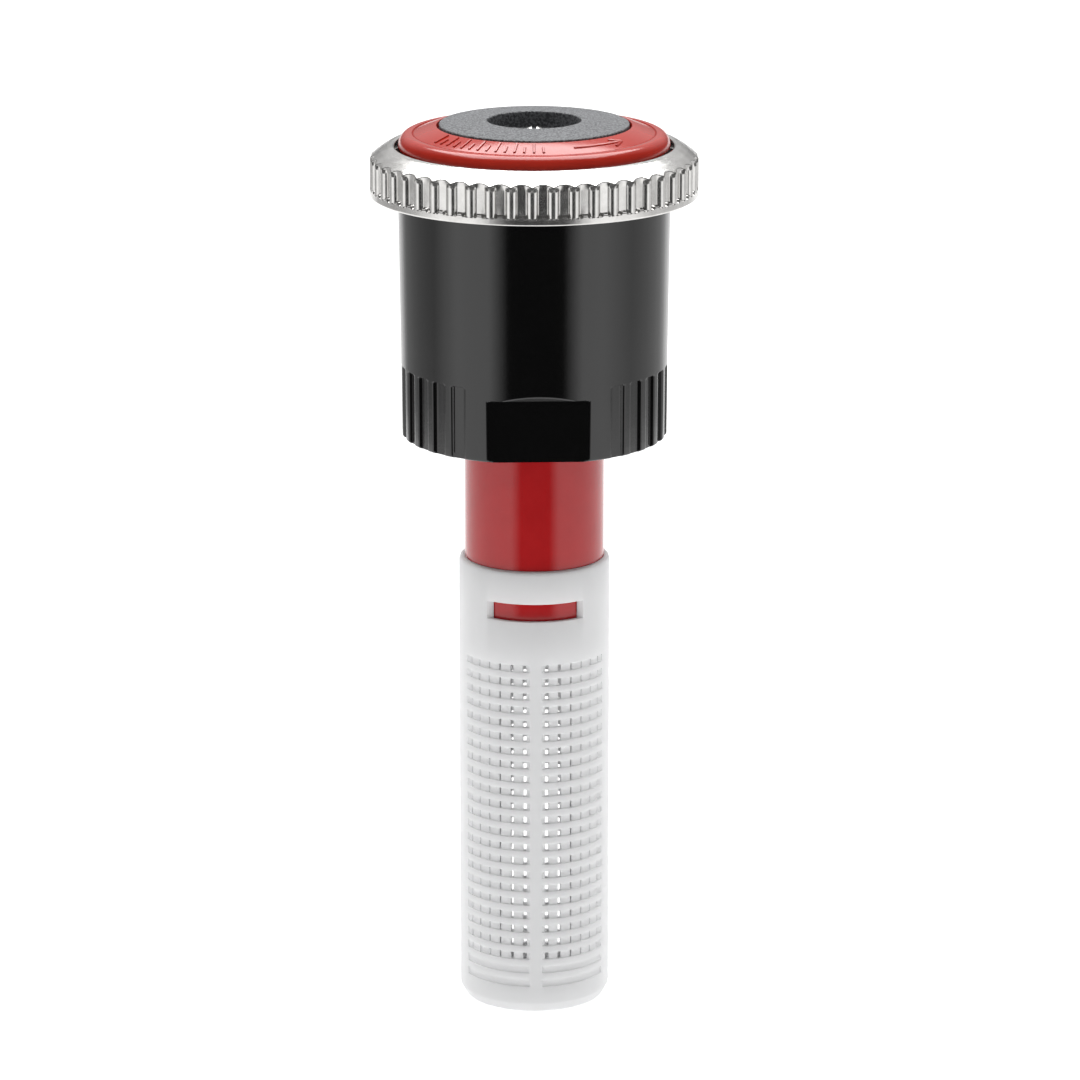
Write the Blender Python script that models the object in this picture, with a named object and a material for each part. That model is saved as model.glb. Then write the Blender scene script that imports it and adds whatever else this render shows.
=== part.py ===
"""Rotary multi-stream spray nozzle for the riser of a pop-up sprinkler.

The collar screws on the riser, and the filter below it hangs inside the riser. Water comes in
through the filter, past the throttle in the red inlet neck, and up through an annular nozzle. It
strikes the channels under the rotor, which rises on its shaft and turns slowly against a viscous
brake. A slotted shaft under the cap's hole sets the throttle.

Every size is in millimetres until an object is made, and every height is measured from the foot of
the filter. The axis of all turning parts is the Z axis. Front is -Y.
"""

import math

import bmesh
import bpy
from mathutils import Matrix, Vector

MM = 0.001

# Driving dimensions
OVERALL_HEIGHT = 79.5
RING_RADIUS = 14.25
THREAD_RADIUS = 7.94
POP_UP_TRAVEL = 6.5
THROTTLE_TRAVEL = 1.6

# Filter
FILTER_RADIUS = 6.65
FILTER_BORE = 6.2
FILTER_TOP = 40.7
FILTER_FLOOR = 0.9
FILTER_FOOT_CHAMFER = 0.5
FILTER_MOUTH_CHAMFER = 0.35
GRID_FOOT = 2.5
GRID_TOP = 32.9
GRID_ROWS = 5
GRID_COLUMN_ANGLES = (-48.0, -18.0, 18.0, 48.0)
GRID_WINDOW_WIDTH = 2.2
CATCH_FOOT = 35.85
CATCH_TOP = 37.8
CATCH_HALF_WIDTH = 4.2
CATCH_RAMP = 0.3
FILTER_TURN = 1.2

# Inlet neck and the throttle in it
NECK_RADIUS = 6.13
NECK_BORE = 4.6
NECK_FOOT = 33.8
NECK_FLANGE_TOP = 63.2
SPIGOT_RADIUS = 5.8
SEAL_GROOVE_BORE = 6.5
SEAL_GROOVE_RADIUS = 7.9
SEAL_GROOVE_FOOT = 62.5
SEAL_RADIUS = 7.2
SEAL_WIRE_RADIUS = 0.4
KEYWAY_RADIUS = 5.2
KEYWAY_WIDTH = 1.6
UPPER_KEYWAY_TOP = 56.2
KEY_ROOT_RADIUS = 2.8
KEY_RADIUS = 4.9
KEY_WIDTH = 1.1
SEAT_FOOT = 45.6
SEAT_TOP = 46.8
NUT_FOOT = 34.4
NUT_TOP = 36.9
NUT_RADIUS = 3.3
THROTTLE_SEAL_RADIUS = 3.4

# Collar
COLLAR_FOOT = 51.7
COLLAR_SHOULDER = 73.1
COLLAR_FOOT_RADIUS = 11.62
COLLAR_TOP_RADIUS = 11.83
COLLAR_TURN = 2.0
FLAT_DISTANCE = 10.6
FLAT_TOP = 57.05
GRIP_TOP = 57.45
GRIP_DEPTH = 0.4
GRIP_PITCH = 10.75
GRIP_GROOVE_WIDTH = 1.32
GRIPS_PER_SIDE = 11
WEB_FOOT = 60.2
WEB_TOP = 61.8
CAVITY_RADIUS = 10.0
CLIP_GROOVE_DEPTH = 0.5
CLIP_GROOVE_FOOT = 65.3
CLIP_GROOVE_TOP = 66.4
BEARING_RADIUS = 10.9
BEARING_TOP = 75.6

# Nozzle, its clip and the shaft guide
NOZZLE_FOOT = 63.5
NOZZLE_PLATE_TOP = 65.1
NOZZLE_TOP = 66.2
NOZZLE_THROAT = 3.7
CLIP_BORE = 9.2
CLIP_MOUTH_WIDTH = 3.6
HUB_RADIUS = 2.9
HUB_TOP = 66.1
GUIDE_FOOT = 61.7
GUIDE_RIM_BORE = 4.65
GUIDE_RIM_RADIUS = 5.3
GUIDE_RIM_TOP = 63.1
SPOKE_WIDTH = 0.8

# Arc ring
RING_FOOT = 73.0
RING_BEAD_TOP = 73.45
RING_EDGE_TOP = 76.4
RING_TOP = 77.4
RING_OPENING = 12.1
RING_EDGE_CHAMFER = 0.3
FLUTE_COUNT = 49
FLUTE_DEPTH = 0.35
CORE_EDGE_TOP = 75.7
CORE_LIP_FOOT = 75.9
CORE_TOP = 76.35

# Rotor
ROTOR_FOOT = 66.6
ROTOR_HUB_RADIUS = 3.2
SOCKET_RADIUS = 2.4
SOCKET_TOP = 70.4
SHAFT_PASSAGE_RADIUS = 1.4
RIM_RADIUS = 11.8
RIM_FOOT = 76.6
RIM_EDGE_HEIGHT = 77.15
RIM_SHOULDER_HEIGHT = 77.9
RIDGE_RADIUS = 10.75
RIDGE_HEIGHT = 78.4
CAP_RADIUS = 8.24
CAP_GAP = 0.16
CAP_EDGE_HEIGHT = 79.2
CAP_HOLE_RADIUS = 4.05
CAP_EDGE_CHAMFER = 0.12
CAP_HOLE_CHAMFER = 0.15
CAP_FOOT = 77.05
CAP_FLOOR = 78.05
CAP_SKIRT = 78.35
POCKET_FLOOR = 78.2
BAND_TOP = 79.1
CHAMBER_RADIUS = 5.0
CHAMBER_FLOOR = 73.6
CHANNEL_COUNT = 16
CHANNEL_DEPTH = 0.5
CHANNEL_SWEEP = 24.0

# Shaft, its bearings and the return spring
SHAFT_RADIUS = 1.0
SHAFT_FOOT = 33.8
SHAFT_TOP = 78.8
SHAFT_GROOVE_DEPTH = 0.3
SHAFT_GROOVE_FOOT = 47.2
SHAFT_GROOVE_TOP = 47.75
SHAFT_CLIP_RADIUS = 2.2
BUSH_BORE = 1.1
BUSH_RADIUS = 2.2
UPPER_BUSH_FOOT = 77.15
UPPER_BUSH_TOP = 78.2
LOWER_BUSH_FOOT = 68.5
LOWER_BUSH_TOP = 70.25
SHAFT_SEAL_FOOT = 66.8
SHAFT_SEAL_TOP = 68.3
STATOR_RADIUS = 4.5
STATOR_FOOT = 74.45
STATOR_TOP = 76.3
THRUST_WASHER_RADIUS = 2.8
THRUST_WASHER_FOOT = 73.75
THRUST_WASHER_TOP = 74.3
SCREW_SLOT_WIDTH = 0.35
SCREW_SLOT_DEPTH = 0.7
SPRING_FOOT = 48.75
SPRING_TOP = 61.5
SPRING_RADIUS = 2.6
SPRING_WIRE_RADIUS = 0.25
SPRING_TURNS = 5.5
SPRING_SEAT_FOOT = 47.8
SPRING_SEAT_RADIUS = 3.3
SPRING_PILOT_RADIUS = 2.0
SPRING_PILOT_TOP = 49.6
GAP = 0.1


def angles(count):
    """Evenly spaced angles of a full turn, in radians."""
    return [math.tau * step / count for step in range(count)]


def remove_old_objects():
    for old in list(bpy.data.objects):
        bpy.data.objects.remove(old)


def make_material(name, colour, roughness, metallic=0.0):
    """A plain Principled material."""
    material = bpy.data.materials.new(name)
    material.use_nodes = True
    shader = material.node_tree.nodes["Principled BSDF"]
    shader.inputs["Base Color"].default_value = (*colour, 1.0)
    shader.inputs["Roughness"].default_value = roughness
    shader.inputs["Metallic"].default_value = metallic
    return material


def add_object(name, body, shape, look):
    """Makes one named object of a bmesh in millimetres, on the body that it moves with."""
    bmesh.ops.recalc_face_normals(shape, faces=shape.faces)
    bmesh.ops.scale(shape, vec=(MM, MM, MM), verts=shape.verts)
    mesh = bpy.data.meshes.new(name)
    shape.to_mesh(mesh)
    shape.free()
    mesh.shade_smooth()
    mesh.set_sharp_from_angle(angle=math.radians(30))
    piece = bpy.data.objects.new(name, mesh)
    piece.data.materials.append(make_material(name, *look))
    piece.parent = body
    bpy.context.collection.objects.link(piece)
    return piece


def add_body(name):
    """An empty on the axis, which the pieces that move together hang on."""
    body = bpy.data.objects.new(name, None)
    bpy.context.collection.objects.link(body)
    return body


def turned(outline, steps):
    """Spins an outline of (radius, height) points about the axis. An outline that starts and ends on
    the axis is left open, and any other is closed."""
    shape = bmesh.new()
    points = [shape.verts.new((radius, 0, height)) for radius, height in outline]
    for start, end in zip(points, points[1:]):
        shape.edges.new((start, end))
    if outline[0][0] > 0:
        shape.edges.new((points[-1], points[0]))
    bmesh.ops.spin(
        shape,
        geom=shape.verts[:] + shape.edges[:],
        axis=(0, 0, 1),
        cent=(0, 0, 0),
        angle=math.tau,
        steps=steps,
        use_merge=True,
    )
    bmesh.ops.remove_doubles(shape, verts=shape.verts, dist=0.0005)
    bmesh.ops.dissolve_degenerate(shape, edges=shape.edges, dist=0.0001)
    return shape


def washer(bore, radius, foot, top, steps):
    """A flat ring of rectangular section."""
    return turned([(bore, foot), (radius, foot), (radius, top), (bore, top)], steps)


def add_block(shape, low, high, turn=0.0):
    """Adds a box between two corners, turned by some degrees about the axis."""
    low, high = Vector(low), Vector(high)
    place = Matrix.Rotation(math.radians(turn), 4, "Z") @ Matrix.Translation((low + high) / 2)
    bmesh.ops.create_cube(shape, size=1.0, matrix=place @ Matrix.Diagonal((*(high - low), 1.0)))


def combine(piece, shape, operation, name):
    """Joins or cuts a piece with a helper shape in millimetres, which is itself left out."""
    helper = add_object(name, None, shape, ((0.5, 0.5, 0.5), 0.5))
    helper.hide_render = True
    helper.display_type = "WIRE"
    step = piece.modifiers.new(name, "BOOLEAN")
    step.operation = operation
    step.solver = "EXACT"
    step.object = helper


def extruded(outline, half_width):
    """A prism along X of an outline of (y, z) points."""
    shape = bmesh.new()
    face = shape.faces.new([shape.verts.new((-half_width, y, z)) for y, z in outline])
    side = bmesh.ops.extrude_face_region(shape, geom=[face])["geom"]
    ends = [part for part in side if isinstance(part, bmesh.types.BMVert)]
    bmesh.ops.translate(shape, vec=(2 * half_width, 0, 0), verts=ends)
    return shape


# Colour, roughness and metallic value of each kind of part
BLACK_PLASTIC = ((0.018, 0.018, 0.020), 0.38)
RED_PLASTIC = ((0.55, 0.020, 0.028), 0.28)
GREY_PLASTIC = ((0.13, 0.13, 0.14), 0.62)
WHITE_PLASTIC = ((0.82, 0.82, 0.81), 0.42)
NATURAL_ACETAL = ((0.78, 0.76, 0.70), 0.35)
STEEL = ((0.62, 0.62, 0.63), 0.25, 1.0)
BLACK_RUBBER = ((0.025, 0.025, 0.027), 0.7)
BRASS = ((0.70, 0.50, 0.22), 0.3, 1.0)


def add_collar_housing(body):
    """Black collar: riser socket below, rotor cavity above, and a bearing for the arc ring on top."""
    foot, top = COLLAR_FOOT, COLLAR_SHOULDER
    shape = turned(
        [
            (THREAD_RADIUS + 0.35, foot),
            (COLLAR_FOOT_RADIUS - 0.25, foot),
            (COLLAR_FOOT_RADIUS, foot + 0.25),
            (COLLAR_FOOT_RADIUS + 0.03, GRIP_TOP + 1.5),
            (COLLAR_TOP_RADIUS, top - 0.3),
            (COLLAR_TOP_RADIUS - 0.3, top),
            (BEARING_RADIUS, top),
            (BEARING_RADIUS, BEARING_TOP - 0.25),
            (BEARING_RADIUS - 0.25, BEARING_TOP),
            (CAVITY_RADIUS, BEARING_TOP),
            (CAVITY_RADIUS, CLIP_GROOVE_TOP),
            (CAVITY_RADIUS + CLIP_GROOVE_DEPTH, CLIP_GROOVE_TOP),
            (CAVITY_RADIUS + CLIP_GROOVE_DEPTH, CLIP_GROOVE_FOOT),
            (CAVITY_RADIUS, CLIP_GROOVE_FOOT),
            (CAVITY_RADIUS, WEB_TOP),
            (NECK_RADIUS + 0.2, WEB_TOP),
            (NECK_RADIUS + 0.2, WEB_FOOT),
            (THREAD_RADIUS, WEB_FOOT),
            (THREAD_RADIUS, foot + 0.4),
        ],
        56,
    )
    piece = add_object("collar_housing", body, shape, BLACK_PLASTIC)
    piece.rotation_euler.z = math.radians(COLLAR_TURN)

    grips = bmesh.new()
    floor = COLLAR_FOOT_RADIUS - GRIP_DEPTH
    for side in (-90.0, 90.0):
        for place in range(GRIPS_PER_SIDE):
            turn = side + (place - (GRIPS_PER_SIDE - 1) / 2) * GRIP_PITCH + COLLAR_TURN
            half = GRIP_GROOVE_WIDTH / 2
            add_block(grips, (-half, -floor - 2, foot - 1), (half, -floor, GRIP_TOP), turn)
    combine(piece, grips, "DIFFERENCE", "grip_cutter")

    near, far = FLAT_DISTANCE, FLAT_DISTANCE + 2.5
    for name, turn in (("front_flat_cutter", 0.0), ("back_flat_cutter", 180.0)):
        flat = extruded(
            [(-near, foot - 1), (-near, FLAT_TOP), (-far, FLAT_TOP + far - near), (-far, foot - 1)],
            6.0,
        )
        spin = Matrix.Rotation(math.radians(turn + COLLAR_TURN), 3, "Z")
        bmesh.ops.rotate(flat, matrix=spin, verts=flat.verts)
        combine(piece, flat, "DIFFERENCE", name)


def add_inlet_neck(body):
    """Red neck: catch bead for the filter below, keyways inside, and a flange on the collar's web."""
    shape = turned(
        [
            (NECK_BORE, NECK_FOOT),
            (SPIGOT_RADIUS - 0.3, NECK_FOOT),
            (SPIGOT_RADIUS, NECK_FOOT + 0.4),
            (SPIGOT_RADIUS, CATCH_FOOT + GAP),
            (FILTER_BORE - GAP, CATCH_FOOT + GAP + CATCH_RAMP),
            (FILTER_BORE - GAP, CATCH_TOP - GAP - CATCH_RAMP),
            (SPIGOT_RADIUS, CATCH_TOP - GAP),
            (SPIGOT_RADIUS, FILTER_TOP - GAP),
            (NECK_RADIUS, FILTER_TOP + 0.25),
            (NECK_RADIUS, WEB_TOP + GAP),
            (CAVITY_RADIUS - 0.3, WEB_TOP + GAP),
            (CAVITY_RADIUS - 0.3, NECK_FLANGE_TOP),
            (SEAL_GROOVE_RADIUS, NECK_FLANGE_TOP),
            (SEAL_GROOVE_RADIUS, SEAL_GROOVE_FOOT),
            (SEAL_GROOVE_BORE, SEAL_GROOVE_FOOT),
            (SEAL_GROOVE_BORE, NECK_FLANGE_TOP),
            (GUIDE_RIM_RADIUS + 0.15, NECK_FLANGE_TOP),
            (GUIDE_RIM_RADIUS + 0.15, GUIDE_FOOT - GAP),
            (NECK_BORE, GUIDE_FOOT - GAP),
        ],
        36,
    )
    piece = add_object("inlet_neck", body, shape, RED_PLASTIC)
    keyways = bmesh.new()
    half = KEYWAY_WIDTH / 2
    for foot, top in ((NECK_FOOT - 1, SEAT_FOOT - 0.4), (SEAT_TOP + 0.5, UPPER_KEYWAY_TOP)):
        add_block(keyways, (-KEYWAY_RADIUS, -half, foot), (-NECK_BORE + 1, half, top))
        add_block(keyways, (NECK_BORE - 1, -half, foot), (KEYWAY_RADIUS, half, top))
    combine(piece, keyways, "DIFFERENCE", "keyway_cutter")


def add_nozzle(body):
    """Outer wall of the annular nozzle, its seal on the neck, and the clip that holds it down."""
    radius = CAVITY_RADIUS - 0.3
    outline = [
        (NOZZLE_THROAT + 1.0, NOZZLE_FOOT),
        (radius, NOZZLE_FOOT),
        (radius, NOZZLE_PLATE_TOP),
        (NOZZLE_THROAT + 1.7, NOZZLE_PLATE_TOP),
        (NOZZLE_THROAT + 1.1, NOZZLE_TOP),
        (NOZZLE_THROAT, NOZZLE_TOP),
        (NOZZLE_THROAT, NOZZLE_PLATE_TOP + 0.1),
    ]
    add_object("nozzle_insert", body, turned(outline, 36), BLACK_PLASTIC)

    height = SEAL_GROOVE_FOOT + SEAL_WIRE_RADIUS + 0.08
    ring = []
    for turn in angles(8):
        across = SEAL_WIRE_RADIUS * math.cos(turn)
        ring.append((SEAL_RADIUS + across, height + SEAL_WIRE_RADIUS * math.sin(turn)))
    add_object("neck_o_ring", body, turned(ring, 28), BLACK_RUBBER)

    foot, top = CLIP_GROOVE_FOOT + 0.2, CLIP_GROOVE_TOP - 0.25
    clip = washer(CLIP_BORE, CAVITY_RADIUS + CLIP_GROOVE_DEPTH - 0.15, foot, top, 36)
    piece = add_object("retaining_clip", body, clip, STEEL)
    mouth = bmesh.new()
    half = CLIP_MOUTH_WIDTH / 2
    add_block(mouth, (-half, CLIP_BORE - 1.2, foot - 0.5), (half, CAVITY_RADIUS + 1.5, top + 0.85))
    combine(piece, mouth, "DIFFERENCE", "clip_mouth_cutter")


def add_shaft_guide(body):
    """Spider in the neck's mouth. Its hub guides the shaft and is the nozzle's inner wall."""
    outline = [
        (BUSH_BORE, GUIDE_FOOT),
        (HUB_RADIUS, GUIDE_FOOT),
        (HUB_RADIUS, HUB_TOP - 0.5),
        (HUB_RADIUS - 0.4, HUB_TOP),
        (BUSH_BORE, HUB_TOP),
    ]
    piece = add_object("shaft_guide", body, turned(outline, 24), BLACK_PLASTIC)
    rim = washer(GUIDE_RIM_BORE, GUIDE_RIM_RADIUS, GUIDE_FOOT + 0.05, GUIDE_RIM_TOP, 28)
    combine(piece, rim, "UNION", "guide_rim")
    spokes = bmesh.new()
    half = SPOKE_WIDTH / 2
    near, far = HUB_RADIUS - 0.3, GUIDE_RIM_BORE + 0.25
    for turn in (0.0, 120.0, 240.0):
        add_block(spokes, (-half, -far, GUIDE_FOOT + 0.2), (half, -near, GUIDE_RIM_TOP - 0.2), turn)
    combine(piece, spokes, "UNION", "guide_spokes")


def add_seals_and_seat(body):
    """Washer that the riser presses on, and the seat that the throttle closes against."""
    gasket = washer(NECK_RADIUS + 0.25, THREAD_RADIUS - 0.15, WEB_FOOT - 0.8, WEB_FOOT - GAP, 28)
    add_object("riser_gasket", body, gasket, BLACK_RUBBER)
    seat = washer(2.3, NECK_BORE - GAP, SEAT_FOOT, SEAT_TOP, 24)
    add_object("throttle_seat", body, seat, NATURAL_ACETAL)


def add_arc_ring(body):
    """Fluted stainless shell on a black core, which turns on the collar's bearing."""
    inside = RING_RADIUS - 0.7
    outline = [
        (inside, RING_FOOT),
        (RING_RADIUS, RING_FOOT),
        (RING_RADIUS, RING_BEAD_TOP),
        (RING_RADIUS, RING_BEAD_TOP + 0.25),
        (RING_RADIUS, RING_EDGE_TOP - 0.4),
        (RING_RADIUS - RING_EDGE_CHAMFER, RING_EDGE_TOP),
        (RING_OPENING, RING_TOP),
        (RING_OPENING, RING_TOP - 0.45),
        (inside, RING_EDGE_TOP - 0.5),
    ]
    shell = turned(outline, 2 * FLUTE_COUNT)
    step = math.pi / FLUTE_COUNT
    for vert in shell.verts:
        fluted = RING_BEAD_TOP + 0.1 < vert.co.z < RING_EDGE_TOP - 0.1
        outside = vert.co.xy.length > RING_RADIUS - 0.1
        if fluted and outside and round(math.atan2(vert.co.y, vert.co.x) / step) % 2:
            vert.co.xy *= (RING_RADIUS - FLUTE_DEPTH) / RING_RADIUS
    add_object("knurled_ring", body, shell, STEEL)

    bore, radius, foot = BEARING_RADIUS + 0.2, inside - 0.2, COLLAR_SHOULDER + 0.15
    core = [
        (bore, foot),
        (radius, foot),
        (radius, CORE_EDGE_TOP),
        (RING_OPENING + 0.1, CORE_TOP),
        (RING_OPENING - 0.1, CORE_LIP_FOOT),
        (bore, CORE_LIP_FOOT),
    ]
    add_object("ring_core", body, turned(core, 48), BLACK_PLASTIC)


def add_filter(body):
    """White basket filter: a closed foot, rows of windows front and back, and two catch slots."""
    outline = [
        (0, 0),
        (FILTER_RADIUS - FILTER_FOOT_CHAMFER, 0),
        (FILTER_RADIUS, FILTER_FOOT_CHAMFER - 0.05),
        (FILTER_RADIUS, FILTER_TOP - FILTER_MOUTH_CHAMFER - 0.45),
        (FILTER_RADIUS - FILTER_MOUTH_CHAMFER, FILTER_TOP),
        (FILTER_BORE, FILTER_TOP),
        (FILTER_BORE, FILTER_FLOOR),
        (0, FILTER_FLOOR),
    ]
    piece = add_object("filter_screen", body, turned(outline, 36), WHITE_PLASTIC)

    pitch = (GRID_TOP - GRID_FOOT) / GRID_ROWS
    rib = pitch / 4
    half = GRID_WINDOW_WIDTH / 2
    windows = bmesh.new()
    for row in range(GRID_ROWS):
        foot = GRID_FOOT + row * pitch + rib / 2
        for side in (0.0, 180.0):
            for column in GRID_COLUMN_ANGLES:
                turn = side + column + FILTER_TURN
                add_block(windows, (-half, -8, foot), (half, -5, foot + pitch - rib), turn)
    for turn in (FILTER_TURN, 180 + FILTER_TURN):
        add_block(windows, (-CATCH_HALF_WIDTH, -8, CATCH_FOOT), (CATCH_HALF_WIDTH, -3, CATCH_TOP), turn)
    combine(piece, windows, "DIFFERENCE", "filter_window_cutter")


def add_spring_and_seat(body):
    """Keyed seat that lifts with the shaft, and the spring between it and the shaft guide."""
    outline = [
        (BUSH_BORE, SPRING_SEAT_FOOT),
        (SPRING_SEAT_RADIUS, SPRING_SEAT_FOOT),
        (SPRING_SEAT_RADIUS, SPRING_FOOT - 0.15),
        (SPRING_PILOT_RADIUS, SPRING_FOOT - 0.15),
        (SPRING_PILOT_RADIUS, SPRING_PILOT_TOP),
        (BUSH_BORE, SPRING_PILOT_TOP),
    ]
    piece = add_object("spring_seat", body, turned(outline, 24), NATURAL_ACETAL)
    combine(piece, key_blades(SPRING_SEAT_FOOT + 0.05, SPRING_FOOT - 0.2), "UNION", "spring_seat_keys")

    steps_per_turn = 12
    rise = SPRING_TOP - SPRING_FOOT - 2 * SPRING_WIRE_RADIUS
    count = round(SPRING_TURNS * steps_per_turn)
    coil = bpy.data.curves.new("return_spring", "CURVE")
    coil.dimensions = "3D"
    coil.bevel_depth = SPRING_WIRE_RADIUS * MM
    coil.bevel_resolution = 1
    coil.use_fill_caps = True
    wire = coil.splines.new("POLY")
    wire.points.add(count)
    for step, point in enumerate(wire.points):
        turn = math.tau * step / steps_per_turn
        height = SPRING_FOOT + SPRING_WIRE_RADIUS + rise * step / count
        place = Vector((SPRING_RADIUS * math.cos(turn), SPRING_RADIUS * math.sin(turn), height))
        point.co = (*(place * MM), 1.0)
    coil.materials.append(make_material("return_spring", *STEEL))
    spring = bpy.data.objects.new("return_spring", coil)
    spring.parent = body
    bpy.context.collection.objects.link(spring)


def key_blades(foot, top):
    """Two blades that run in the neck's keyways and stop a piece from turning."""
    blades = bmesh.new()
    half = KEY_WIDTH / 2
    add_block(blades, (-KEY_RADIUS, -half, foot), (-KEY_ROOT_RADIUS, half, top))
    add_block(blades, (KEY_ROOT_RADIUS, -half, foot), (KEY_RADIUS, half, top))
    return blades


def add_shaft(body):
    """Slotted stainless shaft, the clip under the spring seat, and the brake's fixed disc."""
    groove = SHAFT_RADIUS - SHAFT_GROOVE_DEPTH
    outline = [
        (0, SHAFT_FOOT),
        (SHAFT_RADIUS - 0.2, SHAFT_FOOT),
        (SHAFT_RADIUS, SHAFT_FOOT + 0.2),
        (SHAFT_RADIUS, SHAFT_GROOVE_FOOT),
        (groove, SHAFT_GROOVE_FOOT),
        (groove, SHAFT_GROOVE_TOP),
        (SHAFT_RADIUS, SHAFT_GROOVE_TOP),
        (SHAFT_RADIUS, SHAFT_TOP - 0.15),
        (SHAFT_RADIUS - 0.15, SHAFT_TOP),
        (0, SHAFT_TOP),
    ]
    piece = add_object("adjusting_shaft", body, turned(outline, 18), STEEL)
    slot = bmesh.new()
    half = SCREW_SLOT_WIDTH / 2
    add_block(slot, (-half, -2, SHAFT_TOP - SCREW_SLOT_DEPTH), (half, 2, SHAFT_TOP + 1))
    combine(piece, slot, "DIFFERENCE", "screw_slot_cutter")

    foot, top = SHAFT_GROOVE_FOOT + GAP, SHAFT_GROOVE_TOP - GAP
    clip = add_object("shaft_clip", body, washer(groove + GAP, SHAFT_CLIP_RADIUS, foot, top, 20), STEEL)
    mouth = bmesh.new()
    half = groove - 0.05
    add_block(mouth, (-half, 0, foot - 0.4), (half, SHAFT_CLIP_RADIUS + 0.8, top + 0.5))
    combine(clip, mouth, "DIFFERENCE", "shaft_clip_mouth_cutter")

    stator = washer(BUSH_BORE, STATOR_RADIUS, STATOR_FOOT, STATOR_TOP, 24)
    add_object("brake_stator", body, stator, BRASS)
    thrust = washer(BUSH_BORE, THRUST_WASHER_RADIUS, THRUST_WASHER_FOOT, THRUST_WASHER_TOP, 20)
    add_object("thrust_washer", body, thrust, NATURAL_ACETAL)


def add_rotor(body):
    """Red rotor with swept stream channels underneath, its grey cap, bearings and seal."""
    channel_rows = [(3.4, 69.6), (4.3, 71.3), (6.0, 72.9), (8.3, 74.6), (10.4, 76.1)]
    outline = [
        (SOCKET_RADIUS, ROTOR_FOOT),
        (ROTOR_HUB_RADIUS, ROTOR_FOOT),
        *channel_rows,
        (RIM_RADIUS - 0.3, RIM_FOOT),
        (RIM_RADIUS, RIM_EDGE_HEIGHT),
        (RIM_RADIUS - 0.25, RIM_SHOULDER_HEIGHT),
        (RIDGE_RADIUS, RIDGE_HEIGHT),
        (CAP_RADIUS + CAP_GAP, BAND_TOP),
        (CAP_RADIUS + CAP_GAP, POCKET_FLOOR),
        (CHAMBER_RADIUS, POCKET_FLOOR),
        (CHAMBER_RADIUS, CHAMBER_FLOOR),
        (SHAFT_PASSAGE_RADIUS, CHAMBER_FLOOR),
        (SHAFT_PASSAGE_RADIUS, SOCKET_TOP),
        (SOCKET_RADIUS, SOCKET_TOP),
    ]
    steps = 3 * CHANNEL_COUNT
    plate = turned(outline, steps)
    for vert in plate.verts:
        radius = vert.co.xy.length
        rows = [row for row in channel_rows if math.dist(row, (radius, vert.co.z)) < 0.01]
        if not rows:
            continue
        column = round(math.atan2(vert.co.y, vert.co.x) / (math.tau / steps))
        if column % 3 == 0:
            vert.co.xy *= (radius - 0.6 * CHANNEL_DEPTH) / radius
            vert.co.z += 0.8 * CHANNEL_DEPTH
    for vert in plate.verts:
        radius = vert.co.xy.length
        share = 1.0 if vert.co.z > RIM_FOOT - 0.2 else (radius - 3.0) / (RIM_RADIUS - 3.0)
        if radius > CHAMBER_RADIUS + 0.1:
            vert.co.rotate(Matrix.Rotation(math.radians(CHANNEL_SWEEP) * share**2, 3, "Z"))
    add_object("rotor_plate", body, plate, RED_PLASTIC)

    cap = [
        (BUSH_RADIUS + GAP, CAP_FOOT),
        (CHAMBER_RADIUS - 0.2, CAP_FOOT),
        (CHAMBER_RADIUS - 0.2, CAP_SKIRT),
        (CAP_RADIUS, CAP_SKIRT),
        (CAP_RADIUS, CAP_EDGE_HEIGHT - CAP_EDGE_CHAMFER),
        (CAP_RADIUS - CAP_EDGE_CHAMFER, CAP_EDGE_HEIGHT),
        (CAP_HOLE_RADIUS + CAP_HOLE_CHAMFER, OVERALL_HEIGHT),
        (CAP_HOLE_RADIUS, OVERALL_HEIGHT - CAP_HOLE_CHAMFER + 0.05),
        (CAP_HOLE_RADIUS, CAP_FLOOR),
        (BUSH_RADIUS + GAP, CAP_FLOOR),
    ]
    add_object("top_cap", body, turned(cap, 40), GREY_PLASTIC)

    upper = washer(BUSH_BORE, BUSH_RADIUS, UPPER_BUSH_FOOT, UPPER_BUSH_TOP, 18)
    add_object("upper_bearing", body, upper, BLACK_PLASTIC)
    lower = washer(BUSH_BORE, BUSH_RADIUS, LOWER_BUSH_FOOT, LOWER_BUSH_TOP, 18)
    add_object("lower_bearing", body, lower, NATURAL_ACETAL)
    seal = [
        (BUSH_BORE, SHAFT_SEAL_FOOT),
        (BUSH_RADIUS, SHAFT_SEAL_FOOT),
        (BUSH_RADIUS, SHAFT_SEAL_TOP),
        (BUSH_BORE + 0.6, SHAFT_SEAL_TOP),
        (BUSH_BORE, SHAFT_SEAL_FOOT + 0.8),
    ]
    add_object("shaft_seal", body, turned(seal, 18), BLACK_RUBBER)


def add_throttle(body):
    """Keyed nut on the shaft's thread, with a soft face that closes on the seat."""
    outline = [
        (BUSH_BORE, NUT_FOOT),
        (NUT_RADIUS - 0.3, NUT_FOOT),
        (NUT_RADIUS, NUT_FOOT + 0.4),
        (NUT_RADIUS, NUT_TOP),
        (BUSH_BORE, NUT_TOP),
    ]
    piece = add_object("throttle_nut", body, turned(outline, 24), NATURAL_ACETAL)
    combine(piece, key_blades(NUT_FOOT + 0.8, NUT_TOP - 0.5), "UNION", "throttle_keys")
    face = SEAT_FOOT - POP_UP_TRAVEL - THROTTLE_TRAVEL - GAP
    seal = washer(BUSH_BORE, THROTTLE_SEAL_RADIUS, NUT_TOP + GAP, face, 24)
    add_object("throttle_seal", body, seal, BLACK_RUBBER)


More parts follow.
